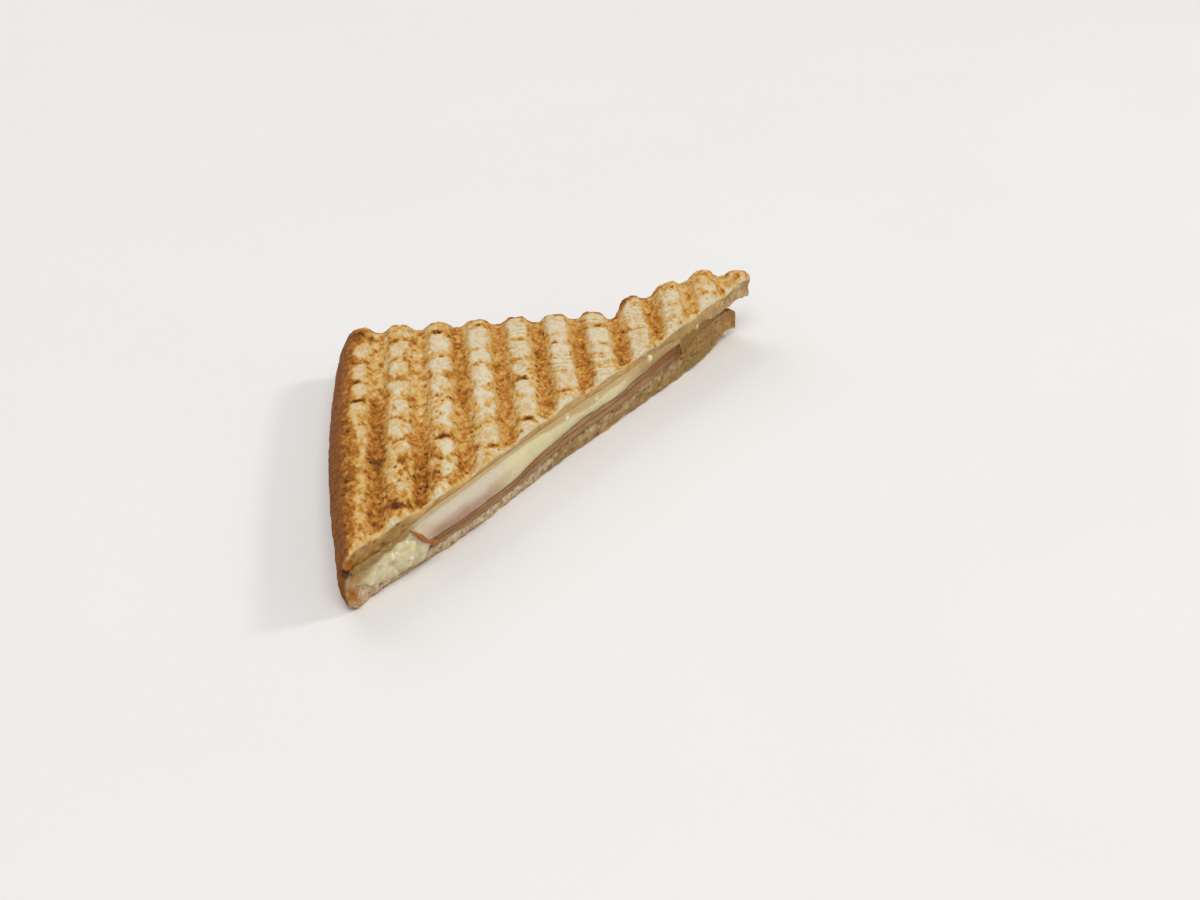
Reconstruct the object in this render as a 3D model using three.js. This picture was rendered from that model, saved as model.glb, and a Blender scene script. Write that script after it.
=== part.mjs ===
// One half of a pressed ham and cheese toastie: a square sandwich cut from corner to corner.
// Millimetres, +Z up. The long cut faces -Y, the square corner points to +Y, and the part rests on z = 0.
//
// The layers are described in the slice's own terms. `a` runs along the back crust, from the side
// crust (a = 0) to the pointed end. `v` runs along the side crust, from the back crust to the cut.
import * as THREE from "three";

const { lerp, smoothstep, clamp } = THREE.MathUtils;

// ---- driving dimensions ------------------------------------------------------------------------

const SLICE = {
  length: 111, // side crust to the pointed end
  cutStart: { a: 4, v: 105.5 }, // the cut's front end
  cutEnd: { a: 111, v: -9 }, // the cut's back end, out on the domed side of the slice
  belly: { at: 29, reach: 2.2, spread: 14 }, // the cut edge swells where the cheese is thickest
  tear: { at: 57, reach: 1, spread: 5 }, // the upper slice's top edge is torn back here
  shoulder: 70.3, // the straight side ends here and the domed top of the loaf begins
  domeLip: { run: 7.5, reach: 7.4 }, // the dome first steps out over the shoulder
  domeSwell: { run: 19, reach: 3.9 }, // and then swells further out
  waist: { at: 71.5, reach: 2.2, spread: 3.2 }, // pinch just below the dome
  corner: 4, // rounding of the square corner and of the front point
};

const BOW = { at: 46, reach: 2.6, spread: 50 }; // the side crust bows outwards

const PRESS = {
  pitch: 10.4, // ribs of the hot plates
  firstGroove: 9.45, // middle of the first pressed groove
  grooveHalf: 0.9, // half of the flat of a groove
  crestHalf: 1.9, // half of the flat of a crest
  topDepth: 1.6,
  underDepth: 1.1,
};

const HEIGHT = {
  crest: 15.2, // top of the crests
  crown: { at: 60, reach: 0.5, spread: 40 }, // the crests stand a little higher over the filling
  upperInside: 12.2, // inner face of the upper slice
  upperThin: { at: 36, reach: 0.9, spread: 13 }, // squeezed thinner at the cut by the thickest cheese
  upperThick: { side: 1.9, end: 2.6 }, // thicker by the side crust and at the pointed end
  underInside: 2.9, // inner face of the lower slice
  underThick: { side: 1.6, middle: 1.6, end: 2.4, tip: 2.5 }, // thicker by the side crust, then in three steps
  seam: 7.2, // where the two slices meet along the crusts
  seamRise: 3, // the seam climbs at the front point
  seamGap: 0.6,
};

// Along the cut the knife pressed the top edge down, and the grooves fade out.
const CUT_RIM = { run: 3.5, drop: 0.5, grooveLeft: 0.3 };

const CRUST = {
  run: 8, // width of the band where the slices close up on each other
  round: 5.5, // rounding of the side crust
  drop: 1.3, // how far the top falls away at the back crust
  bulge: 1.6, // the back crust is rounded in section
};

// The upper slice curls up at the pointed end, most of all away from the cut.
const LIFT = { from: 74, full: 103, atCut: 1.3, slope: 0.24, most: 4.8 };
const TIP_CURL = { from: 99, rise: 1.3 };

const HAM = {
  from: 20.5,
  to: 88.5,
  thinLeaf: 1.2, // each of the two leaves, near the fold
  thickLeaf: 1.75, // and towards the pointed end
  backInset: 8,
  foldRound: 1.7,
};

const CHEESE = {
  from: 5,
  to: 102.5,
  backInset: 6.5,
  film: 1.1, // thickness of the film left on the lower slice where the upper one lifts away
  ooze: { at: 27, reach: 2.2, spread: 16 }, // swelling of the melt past the cut
};

// The lower slice ends short of the upper one, set back from the cut and turned up a little.
const LOWER_END = { short: 5, from: 90, setback: 3.2, backset: 2, rise: 0.8 };
const CLEAR = 0.3; // air between touching layers

const COLOUR = { toast: 0xd9a860, under: 0xd2a468, cheese: 0xe8dca0, ham: 0xc98d7c };

// ---- outline of the half slice -----------------------------------------------------------------

const hump = (x, { at, reach, spread }) => reach * Math.exp(-(((x - at) / spread) ** 2));

// Setback of a rounded corner at distance d from the end.
const cornerRound = (d) => SLICE.corner * Math.max(0, 1 - d / SLICE.corner) ** 2;

// v of the back crust: straight, pinched at the shoulder, then out along the dome.
function backEdge(a) {
  const { shoulder, domeLip: lip, domeSwell: swell } = SLICE;
  const stepOut = lip.reach * smoothstep(a, shoulder, shoulder + lip.run);
  const swellOut = swell.reach * smoothstep(a, shoulder + lip.run, shoulder + lip.run + swell.run);
  return hump(a, SLICE.waist) - stepOut - swellOut + cornerRound(a);
}

// v of the cut: a straight stroke with a soft belly, rounded where it meets the side crust.
function cutEdge(a) {
  const { cutStart: s, cutEnd: e } = SLICE;
  const straight = s.v + ((e.v - s.v) * (a - s.a)) / (e.a - s.a);
  return straight + hump(a, SLICE.belly) - cornerRound(a) + 0.8 * smoothstep(a, 100, SLICE.length);
}

// How far the side crust stands out at v, fading to nothing inside the first crest.
function sideBow(a, v) {
  const bow = BOW.reach * (1 - ((v - BOW.at) / BOW.spread) ** 2);
  return bow * (1 - smoothstep(a, 0, CRUST.run));
}

// ---- heights -----------------------------------------------------------------------------------

// 0 in the middle of a pressed groove, 1 on a crest.
function rib(a) {
  const turns = (a - PRESS.firstGroove) / PRESS.pitch;
  const fromGroove = Math.abs(turns - Math.round(turns)) * PRESS.pitch;
  return smoothstep(fromGroove, PRESS.grooveHalf, PRESS.pitch / 2 - PRESS.crestHalf);
}

// 0 at the crusts, 1 inside the band where the slices close up.
function inside(a, v) {
  return smoothstep(a, 0, CRUST.run) * smoothstep(v - backEdge(a), 0, CRUST.run);
}

function lift(a, v) {
  const away = Math.max(0, cutEdge(a) - v);
  const curl = TIP_CURL.rise * smoothstep(a, TIP_CURL.from, SLICE.length);
  return curl + smoothstep(a, LIFT.from, LIFT.full) * Math.min(LIFT.most, LIFT.atCut + LIFT.slope * away);
}

function topFace(a, v) {
  const edge = 1 - clamp((v - backEdge(a)) / CRUST.round, 0, 1);
  const rim = 1 - smoothstep(cutEdge(a) - v, 0, CUT_RIM.run);
  const groove = PRESS.topDepth * (1 - rib(a)) * lerp(1, CUT_RIM.grooveLeft, rim);
  const crown = hump(a, HEIGHT.crown) * inside(a, v);
  return HEIGHT.crest + crown - groove - CUT_RIM.drop * rim - CRUST.drop * edge ** 2 + lift(a, v);
}

function seam(a, v) {
  return HEIGHT.seam + HEIGHT.seamRise * smoothstep(v, 78, 104) * (1 - smoothstep(a, 4, 12));
}

function upperInside(a, v) {
  const { side, end } = HEIGHT.upperThick;
  const thick = side * (1 - smoothstep(a, 10, 24)) + end * smoothstep(a, 86, 104);
  const thin = hump(a, HEIGHT.upperThin) * (1 - smoothstep(cutEdge(a) - v, 0, CUT_RIM.run));
  const closed = seam(a, v) + HEIGHT.seamGap / 2;
  return lerp(closed, HEIGHT.upperInside - thick + thin, inside(a, v)) + lift(a, v);
}

function lowerInside(a, v) {
  const { side, middle, end, tip } = HEIGHT.underThick;
  const fromSide = side * (1 - smoothstep(a, 6, 18));
  const towardsEnd = middle * smoothstep(a, 40, 56) + end * smoothstep(a, 62, 92) + tip * smoothstep(a, 88.5, 94.5);
  const thick = fromSide + towardsEnd;
  return lerp(seam(a, v) - HEIGHT.seamGap / 2, HEIGHT.underInside + thick, inside(a, v));
}

const underFace = (a) => PRESS.underDepth * (1 - rib(a));

// Thickness of the two ham leaves, before the rounding of their ends.
const hamRoom = (a) => 2 * lerp(HAM.thinLeaf, HAM.thickLeaf, smoothstep(a, 40, 60));

// Thickness of the folded ham, rounded off at its fold and at its far end.
function hamThickness(a) {
  const end = Math.min(a - HAM.from, HAM.to - a) / HAM.foldRound;
  return hamRoom(a) * Math.sqrt(1 - (1 - clamp(end, 0, 1)) ** 2);
}

// The cheese lies on the ham, and on the lower slice past the ham's fold and its back edge.
function cheeseUnderside(a, v) {
  const alongHam = smoothstep(a, HAM.from - 3, HAM.from) * (1 - smoothstep(a, HAM.to, HAM.to + 4));
  const overHam = smoothstep(v - backEdge(a), HAM.backInset - 3, HAM.backInset - 0.5);
  return lowerInside(a, v) + CLEAR + (hamRoom(a) + CLEAR) * alongHam * overHam;
}

// ---- solids ------------------------------------------------------------------------------------

function evenSteps(from, to, count) {
  return Array.from({ length: count + 1 }, (_, i) => lerp(from, to, i / count));
}

// Positions from the back to the cut: close steps over the crust band and by the cut, even ones between.
function rowsAcross(back, front, even) {
  const band = Math.min(CRUST.run, (front - back) / 2);
  const rim = Math.min(CUT_RIM.run, (front - back) / 4);
  const crust = [0, 0.2, 0.45, 0.72].map((s) => back + s * band);
  return [...crust, ...evenSteps(back + band, front - rim, even - 1), front - rim / 2, front];
}

// Stations that follow the ribs, with extra ones where the side crust rounds.
function ribStations(end, perRib) {
  const stations = [0.03, 0.35, 1.1, 2.3, 3.8];
  const step = PRESS.pitch / perRib;
  const first = PRESS.firstGroove - step * Math.floor((PRESS.firstGroove - 4.6) / step);
  for (let a = first; a < end - 0.6; a += step) stations.push(a);
  return [...stations, end];
}

// Fills a loop with triangles zipped between its upper and its lower row, from the back to the front.
function zip(loop) {
  const faces = [];
  let p = 0;
  let q = loop.length - 1;
  while (q - p > 1) {
    const upperNext = loop[p + 1][0] <= loop[q - 1][0];
    faces.push(upperNext ? [p, p + 1, q] : [p, q - 1, q]);
    if (upperNext) p++;
    else q--;
  }
  return faces;
}

// A closed solid lofted through stations along `a`. `section(a)` gives each station's closed loop of
// [v, z] points, all with the same count. The side bow moves the points, and the ends are filled.
function loft(stations, section) {
  const loops = stations.map((a) => section(a));
  const count = loops[0].length;
  const points = loops.flatMap((loop, i) => loop.map(([v, z]) => [stations[i] - sideBow(stations[i], v), -v, z]));
  const faces = [];
  for (let i = 0; i + 1 < loops.length; i++)
    for (let j = 0; j < count; j++) {
      const [p, q] = [i * count + j, i * count + ((j + 1) % count)];
      faces.push(p, q, q + count, p, q + count, p + count);
    }
  for (const [p, q, r] of zip(loops[0])) faces.push(r, q, p);
  const last = (loops.length - 1) * count;
  for (const [p, q, r] of zip(loops[loops.length - 1])) faces.push(last + p, last + q, last + r);
  const geometry = new THREE.BufferGeometry();
  geometry.setAttribute("position", new THREE.Float32BufferAttribute(points.flat(), 3));
  geometry.setIndex(faces);
  geometry.computeVertexNormals();
  return geometry;
}

// One section: the top from back to front, the cut face, the underside, the back face. The top stops
// `lip` short of the cut. `nose` and `heel` say how far the cut face and the back face bulge.
function slabSection({ back, front, high, low, lip = 0, nose = 0, heel = 0, rows }) {
  const loop = rowsAcross(back, front - lip, rows.top).map((v) => [v, high(v)]);
  const face = (from, to, bulge, steps) => {
    for (let j = 1; j < steps; j++) {
      const s = j / steps;
      loop.push([lerp(from[0], to[0], s) + bulge * Math.sin(Math.PI * s), lerp(from[1], to[1], s)]);
    }
  };
  face(loop[loop.length - 1], [front, low(front)], nose, rows.front);
  for (const v of rowsAcross(back, front, rows.under).reverse()) loop.push([v, low(v)]);
  face(loop[loop.length - 1], loop[0], -heel, rows.back);
  return loop;
}

// Where the side crust rounds, a slice closes towards one height of its own.
function roundedSide(a, low, high, closeAt) {
  const share = Math.sqrt(1 - (1 - Math.min(1, a / CRUST.round)) ** 2);
  const middle = (v) => lerp(low(v), high(v), closeAt);
  return { low: (v) => lerp(middle(v), low(v), share), high: (v) => lerp(middle(v), high(v), share) };
}

function upperSlice() {
  const rows = { top: 10, front: 3, under: 5, back: 4 };
  return loft(ribStations(SLICE.length, 8), (a) => {
    const faces = roundedSide(a, (v) => upperInside(a, v), (v) => topFace(a, v), 0.4);
    const lip = hump(a, SLICE.tear);
    return slabSection({ back: backEdge(a), front: cutEdge(a), ...faces, lip, heel: CRUST.bulge, rows });
  });
}

function lowerSlice() {
  const rows = { top: 5, front: 3, under: 3, back: 4 };
  const end = SLICE.length - LOWER_END.short;
  return loft(ribStations(end, 8), (a) => {
    const atEnd = smoothstep(a, LOWER_END.from, end);
    const low = () => underFace(a) + LOWER_END.rise * atEnd;
    const faces = roundedSide(a, low, (v) => lowerInside(a, v), 0.6);
    const front = cutEdge(a) - LOWER_END.setback * atEnd;
    const back = backEdge(a) + 0.6 * cornerRound(end - a) + LOWER_END.backset * atEnd;
    return slabSection({ back, front, ...faces, heel: CRUST.bulge, rows });
  });
}

// One slice of ham folded on itself: two leaves joined by a rounded fold, with a crease at the cut.
function ham() {
  const rounded = [0.08, 0.4, 1, 1.8];
  const stations = [
    ...rounded.map((d) => HAM.from + d),
    ...evenSteps(HAM.from + 3, HAM.to - 3, 30),
    ...rounded.map((d) => HAM.to - d).reverse(),
  ];
  return loft(stations, (a) => {
    const half = hamThickness(a) / 2;
    const middle = (v) => lowerInside(a, v) + CLEAR + hamRoom(a) / 2;
    const back = backEdge(a) + HAM.backInset;
    const front = cutEdge(a) + 0.2;
    const crease = Math.min(0.5, half / 2);
    const rows = evenSteps(back, front, 5);
    return [
      ...rows.map((v) => [v, middle(v) + half]),
      [front + crease, middle(front) + half / 2],
      [front - crease, middle(front)],
      [front + crease, middle(front) - half / 2],
      ...rows.reverse().map((v) => [v, middle(v) - half]),
      [back - half / 2, middle(back)],
    ];
  });
}

// Melted cheese: it fills the room between the slices, oozes out of the cut, and thins to a film at
// the pointed end.
function cheese() {
  const rows = { top: 5, front: 7, under: 5, back: 3 };
  return loft(evenSteps(CHEESE.from, CHEESE.to, 46), (a) => {
    const thinning = smoothstep(a, HAM.to, CHEESE.to - 4);
    const roof = (v) => upperInside(a, v) - CLEAR;
    const low = (v) => Math.min(cheeseUnderside(a, v), roof(v) - CHEESE.film);
    const high = (v) => lerp(roof(v), low(v) + CHEESE.film, thinning);
    const front = cutEdge(a) + 0.3 - (LOWER_END.setback + 0.8) * thinning;
    const nose = 0.4 + hump(a, CHEESE.ooze);
    return slabSection({ back: backEdge(a) + CHEESE.backInset, front, high, low, nose, heel: 0.5, rows });
  });
}

// ---- the sandwich ------------------------------------------------------------------------------

function layer(name, geometry, color, roughness) {
  const mesh = new THREE.Mesh(geometry, new THREE.MeshStandardMaterial({ color, roughness, metalness: 0 }));
  mesh.name = name;
  return mesh;
}

const sandwich = new THREE.Group();
sandwich.add(
  layer("bread_lower", lowerSlice(), COLOUR.under, 0.9),
  layer("ham", ham(), COLOUR.ham, 0.5),
  layer("cheese", cheese(), COLOUR.cheese, 0.35),
  layer("bread_upper", upperSlice(), COLOUR.toast, 0.9),
);

// Turn the cut to face -Y, then put the origin under the middle of the whole.
const { cutStart, cutEnd } = SLICE;
sandwich.rotation.z = -Math.atan2(cutStart.v - cutEnd.v, cutEnd.a - cutStart.a);
sandwich.updateMatrixWorld(true);
const box = new THREE.Box3().setFromObject(sandwich, true);
sandwich.position.set(-(box.min.x + box.max.x) / 2, -(box.min.y + box.max.y) / 2, -box.min.z);

const part = new THREE.Group();
part.add(sandwich);

export default part;
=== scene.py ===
"""Looks of the pressed ham and cheese toastie: toasted bread, melted cheese and folded ham on a table.

Shapes are worked out in millimetres in the slice's own terms, as in the construction: `a` runs along
the back crust from the side crust to the pointed end, `v` runs along the side crust from the back
crust to the cut, and z is the height over the table. A bare number beside `a`, `v` or `z` is such a
place. noise(), lumps() and dots() take the size of their features and then a seed of their own.
"""

import functools
import math

import bpy
import numpy as np
from bpy.props import FloatProperty, FloatVectorProperty, PointerProperty
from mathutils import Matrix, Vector


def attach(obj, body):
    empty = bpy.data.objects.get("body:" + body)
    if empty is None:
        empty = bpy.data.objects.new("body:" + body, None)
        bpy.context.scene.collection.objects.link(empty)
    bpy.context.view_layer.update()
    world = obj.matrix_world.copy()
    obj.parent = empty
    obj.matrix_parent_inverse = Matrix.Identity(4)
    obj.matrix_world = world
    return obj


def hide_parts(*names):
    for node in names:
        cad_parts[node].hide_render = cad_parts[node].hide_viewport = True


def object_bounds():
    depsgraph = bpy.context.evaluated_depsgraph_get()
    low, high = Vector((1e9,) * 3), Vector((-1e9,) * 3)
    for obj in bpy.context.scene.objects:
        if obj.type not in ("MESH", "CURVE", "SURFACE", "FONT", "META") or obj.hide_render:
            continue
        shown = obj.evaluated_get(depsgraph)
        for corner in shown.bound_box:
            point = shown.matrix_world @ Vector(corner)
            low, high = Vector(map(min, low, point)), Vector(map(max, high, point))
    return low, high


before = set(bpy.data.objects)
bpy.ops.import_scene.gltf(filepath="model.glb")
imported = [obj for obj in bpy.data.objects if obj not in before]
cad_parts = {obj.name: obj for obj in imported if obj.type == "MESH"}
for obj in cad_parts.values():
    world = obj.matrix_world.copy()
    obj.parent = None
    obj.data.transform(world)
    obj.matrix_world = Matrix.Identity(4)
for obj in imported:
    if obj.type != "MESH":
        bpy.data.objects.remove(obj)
cad_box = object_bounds()

bl_info = {
    "name": "Pressed Toastie",
    "version": (1, 0, 0),
    "blender": (4, 5, 0),
    "location": "3D View > Sidebar > Toastie",
    "description": "Makes the bread, ham and cheese of a pressed toastie half and its table",
    "category": "Add Mesh",
}

MM = 0.001

# ---- sizes shared with the construction, in millimetres ----
# A group of three numbers is a hump: its place, reach and spread.

LENGTH = 111.0
CUT_START = (4.0, 105.5)
CUT_END = (111.0, -9.0)
CUT_BELLY = (29, 2.2, 14)
TURN = math.atan2(CUT_START[1] - CUT_END[1], CUT_END[0] - CUT_START[0])
ORIGIN = (-4.336, 39.608)  # the slice's own corner in the part's frame
CORNER = 4.0  # rounding of the square corner and of the front point
SHOULDER = 70.3  # the domed top of the loaf begins here, and steps out twice
DOME_LIP_RUN, DOME_LIP_REACH = 7.5, 7.4
DOME_SWELL_RUN, DOME_SWELL_REACH = 19.0, 3.9
WAIST = (71.5, 2.2, 3.2)
BOW_AT, BOW_REACH, BOW_SPREAD = 46, 2.6, 50  # the side crust bows outwards
RIB_PITCH, FIRST_GROOVE = 10.4, 9.45
GROOVE_HALF, CREST_HALF = 0.9, 1.9
TOP_DEPTH, UNDER_DEPTH = 1.6, 1.1
CREST_Z, CROWN = 15.2, (60, 0.5, 40)
UPPER_INSIDE_Z, UPPER_THIN = 12.2, (36, 0.9, 13)
UPPER_HANGS = ((10, 0.6, 7), (89, 1.4, 4))  # the crumb hangs a little lower here at the cut
LOWER_INSIDE_Z = 2.9
SEAM_Z, SEAM_RISE, SEAM_GAP = 7.2, 3.0, 0.6
CRUST_RUN, CRUST_ROUND, CRUST_DROP, CRUST_BULGE = 8.0, 5.5, 1.3, 1.6
CUT_RIM, RIM_DROP = 3.5, 0.5
GROOVE_LEFT, UNDER_GROOVE_LEFT = 0.3, 0.1  # share of the grooves' depth that is left at the cut
LIFT_FROM, LIFT_FULL = 74, 103  # the upper slice curls up between these places
LIFT_AT_CUT, LIFT_SLOPE, LIFT_MOST = 1.3, 0.24, 4.8
TIP_FROM, TIP_RISE = 99, 1.3
LOWER_END, LOWER_END_FROM = LENGTH - 5.0, 90
LOWER_SETBACK, LOWER_RISE = 3.2, 0.8
THIN_LEAF, THICK_LEAF = 1.2, 1.75
HAM_FROM, HAM_TO, HAM_ROUND = 20.5, 88.5, 1.7
CHEESE_FROM, CHEESE_TO, FILM = 5.0, 102.5, 1.1
CLEAR = 0.3
GRAIN_LENGTH = 1.5  # how much longer the toasted grain is along the ribs than across
SQUARE_TO_CUT = math.cos(TURN)  # distance square to the cut for each millimetre of v

# ---- fineness of the meshes ----

TOP_ROWS, UNDER_ROWS, SIDE_ROWS = 130, 60, 14
BOX_INSET = 0.01 * MM  # the dressed part stays this far inside the construction's box

# Places of the cracks across each crest of the upper slice, measured from the back crust.
CRACKS = (
    (12, 21.5, 31.5, 41, 51.5, 61.5, 73, 84),
    (10.5, 21, 31.5, 41, 51, 61, 70.5, 79, 89.5),
    (8.5, 20.5, 31, 41, 51.5, 61, 71, 79),
    (6.5, 19.5, 28, 38.5, 48.5, 58, 67.5),
    (4.5, 15.7, 26.5, 36.3, 46, 56.5),
    (5.5, 14.7, 19.5, 25, 34.5, 44.5),
    (4, 11.6, 21.5, 27, 32),
    (2, 9, 15, 20.3),
    (-2, 5, 12),
    (-6, 1),
    (-9,),
)
# Browner spots on those crests: a, v, size, strength.
SCORCHES = (
    (25, 8.6, 1.7, 0.4),
    (35.5, 5.2, 1.5, 0.35),
    (46, 36.3, 1.8, 0.5),
    (46.5, 56.8, 1.6, 0.5),
    (35.5, 27.5, 1.7, 0.35),
    (36.5, 67.3, 1.2, 0.45),
    (66.5, 11.8, 1.3, 0.45),
    (5, 41, 1.5, 0.4),
    (15.5, 41.5, 1.4, 0.35),
    (15, 89.5, 2.4, 0.3),
    (55.5, 19.5, 0.8, 0.6),
    (25.5, 61.2, 1.3, 0.35),
)
# Drops of melt that stand out on the cut face: a, height, size, and how strongly each is painted with a
# near-white painted highlight.
DROPS = (
    (12.6, 7.6, 0.6, 0.45),
    (16.4, 5.4, 0.6, 0.7),
    (9.6, 8.0, 0.5, 0.0),
    (14.2, 8.9, 0.5, 0.1),
    (13.0, 3.4, 0.5, 0.0),
    (7.6, 4.6, 0.5, 0.0),
    (55.2, 12.0, 0.5, 0.6),
    (63.4, 11.6, 0.4, 0.15),
    (78.8, 12.7, 0.65, 0.25),
    (93.4, 12.2, 0.5, 0.0),
)
# Near-white colour of the painted glints: painted highlights on the drops.
SHINE = (0.98, 0.95, 0.84)


def length(name, description, default):
    return FloatProperty(name=name, description=description, default=default, unit="LENGTH")


def power(name, description, default):
    return FloatProperty(name=name, description=description, default=default, unit="POWER")


def colour(name, description, default):
    return FloatVectorProperty(name=name, description=description, default=default, subtype="COLOR")


class ToastieBread(bpy.types.PropertyGroup):
    """Finish of the two slices."""

    voxel: length("Mesh step", "Size of the faces of the slices", 0.42 * MM)
    crack_depth: length("Crack depth", "Depth of the cracks across the ribs", 0.55 * MM)
    pore_depth: length("Pore depth", "Depth of the holes in the cut crumb", 0.4 * MM)
    grain: length("Grain", "Height of the crumbly toasted grain", 0.22 * MM)
    cream: colour("Cream", "Least toasted bread", (0.68, 0.57, 0.38))
    golden: colour("Golden", "Lightly toasted bread", (0.66, 0.4, 0.11))
    brown: colour("Brown", "Well toasted bread", (0.43, 0.155, 0.016))
    dark: colour("Dark", "Darkest toasted spots", (0.1, 0.032, 0.009))
    crust: colour("Crust", "Side crust", (0.23, 0.08, 0.018))
    soaked: colour("Soaked crumb", "Crumb soaked by the cheese", (0.61, 0.38, 0.13))
    # Crumb colour in painted shade, also used for its randomly darker parts.
    dim_crumb: colour("Dim crumb", "Browner parts of the crumb", (0.355, 0.22, 0.07))
    crumb: colour("Crumb", "Dry crumb", (0.78, 0.67, 0.49))


class ToastieFilling(bpy.types.PropertyGroup):
    """Finish of the cheese and the ham."""

    cheese: colour("Cheese", "Melted cheese", (0.75, 0.66, 0.385))
    cheese_white: colour("White cheese", "Whitish end of the cheese", (0.64, 0.565, 0.475))
    cheese_thin: colour("Thin cheese", "Cheese where ham shows through", (0.42, 0.205, 0.095))
    cheese_soaked: colour("Soaked cheese", "Cheese mixed with crumb", (0.56, 0.37, 0.15))
    # Crumb on the cheese at the pointed end, darkened with painted shade.
    end_crumb: colour("End crumb", "Crumb stuck to the cheese at the pointed end", (0.34, 0.2, 0.06))
    # Oily cheese colour, also painted as shade under the upper slice and at the pointed end.
    cheese_deep: colour("Deep cheese", "Oily cheese deep in the cut", (0.25, 0.115, 0.004))
    ham: colour("Ham", "Cooked ham", (0.33, 0.175, 0.07))
    ham_pale: colour("Pale ham", "Pale streaks of the ham", (0.42, 0.25, 0.11))
    ham_dark: colour("Browned ham", "The ham's browned fold", (0.37, 0.115, 0.016))
    gloss: FloatProperty(
        name="Cheese roughness", description="Roughness of the melted cheese", default=0.3, min=0, max=1
    )


class ToastieStage(bpy.types.PropertyGroup):
    """Table, lights and camera."""

    table: colour("Table", "Colour of the table", (0.84, 0.835, 0.83))
    camera: FloatVectorProperty(
        name="Camera",
        description="Place of the camera",
        subtype="TRANSLATION",
        default=(-0.275857, -0.258867, 0.220733),
    )
    aim: FloatVectorProperty(
        name="Camera turn",
        description="Rotation of the camera",
        subtype="EULER",
        default=(math.radians(58.1426), math.radians(1.4858), math.radians(-52.8201)),
    )
    lens: FloatProperty(name="Lens", description="Focal length in millimetres on a 36 mm sensor", default=50.3)
    key_power: power("Key light", "Power of the main light", 13.5)
    side_power: power("Side light", "Power of the light beside the cut", 6.0)
    back_power: power("Back light", "Power of the light from behind", 7.0)
    room: FloatProperty(name="Room light", description="Strength of the light from all sides", default=0.38)


class ToastieSettings(bpy.types.PropertyGroup):
    """All settings of the toastie."""

    bread: PointerProperty(type=ToastieBread)
    filling: PointerProperty(type=ToastieFilling)
    stage: PointerProperty(type=ToastieStage)


# ---- numbers ----


def ramp(x, low, high):
    """0 below low, 1 above high, smooth between."""
    t = np.clip((x - low) / (high - low), 0, 1)
    return t * t * (3 - 2 * t)


def fade(x, low, high):
    """1 below low, 0 above high, smooth between."""
    return 1 - ramp(x, low, high)


def mix(a, b, share):
    return a + (b - a) * share


def most(*values):
    """The largest of several values, point by point."""
    return functools.reduce(np.maximum, values)


def hump(x, at, reach, spread):
    """A bell of that reach around one place."""
    return reach * np.exp(-(((x - at) / spread) ** 2))


def spot(x, x_at, x_spread, y, y_at, y_spread):
    """1 at one place, fading out all round it."""
    return np.exp(-(((x - x_at) / x_spread) ** 2) - ((y - y_at) / y_spread) ** 2)


def lattice_value(seed, i, j, k):
    """A repeatable random value from 0 to 1 at every whole-number point."""
    h = (i * 374761393 + j * 668265263 + k * 362437 + seed * 974634777) & 0xFFFFFFFF
    h = ((h ^ (h >> 13)) * 1274126177) & 0xFFFFFFFF
    return ((h ^ (h >> 16)) & 0xFFFF) / 65535.0


def noise(p, size, seed, octaves=2):
    """Soft noise from about -1 to 1 over the points p (mm), with features of that size."""
    total, weight = 0.0, 0.0
    for octave in range(octaves):
        q = p / (size / 2**octave) + 17.3 * octave
        cell = np.floor(q).astype(np.int64)
        f = q - cell
        f = f * f * (3 - 2 * f)
        value = 0.0
        for n in range(8):
            corner = ((n >> 0) & 1, (n >> 1) & 1, (n >> 2) & 1)
            share = np.prod([np.abs(1 - corner[d] - f[:, d]) for d in range(3)], axis=0)
            value = value + share * lattice_value(seed + octave, *(cell[:, d] + corner[d] for d in range(3)))
        total = total + (2 * value - 1) * 0.55**octave
        weight += 0.55**octave
    return total / weight * 1.6


def scatter(p, spacing, seed):
    """Distance to the nearest scattered point in units of spacing, and that point's own value."""
    q = p / spacing
    cell = np.floor(q).astype(np.int64)
    best = np.full(len(p), 9.0)
    value = np.zeros(len(p))
    for n in range(27):
        near = cell + np.array([n % 3 - 1, n // 3 % 3 - 1, n // 9 - 1])
        place = np.stack([near[:, d] + lattice_value(seed + d, *near.T) for d in range(3)], 1)
        distance = np.linalg.norm(place - q, axis=1)
        closer = distance < best
        best[closer] = distance[closer]
        value[closer] = lattice_value(seed + 7, *near[closer].T)
    return best, value


def lumps(p, spacing, seed, reach=0.75, least=0.3, power=1.0):
    """Rounded lumps up to 1 high, each between `least` and 1 by a value of its own."""
    distance, kind = scatter(p, spacing, seed)
    return (1 - np.minimum(1, distance / reach) ** 2) ** power * (least + (1 - least) * kind)


def dots(p, spacing, seed, low, high, rare):
    """1 in small dots, and only in those whose own value is above `rare`."""
    distance, kind = scatter(p, spacing, seed)
    return fade(distance, low, high) * (kind > rare)


# ---- outline and heights, as in the construction ----


def corner_round(d):
    return CORNER * np.maximum(0, 1 - d / CORNER) ** 2


def back_edge(a):
    lip_end = SHOULDER + DOME_LIP_RUN
    lip = DOME_LIP_REACH * ramp(a, SHOULDER, lip_end)
    swell = DOME_SWELL_REACH * ramp(a, lip_end, lip_end + DOME_SWELL_RUN)
    return hump(a, *WAIST) - (lip + swell) + corner_round(a)


def cut_edge(a):
    straight = CUT_START[1] + (CUT_END[1] - CUT_START[1]) * (a - CUT_START[0]) / (CUT_END[0] - CUT_START[0])
    return straight + hump(a, *CUT_BELLY) - corner_round(a) + 0.8 * ramp(a, 100, LENGTH)


def side_bow(a, v):
    return BOW_REACH * (1 - ((v - BOW_AT) / BOW_SPREAD) ** 2) * fade(a, 0, CRUST_RUN)


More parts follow.
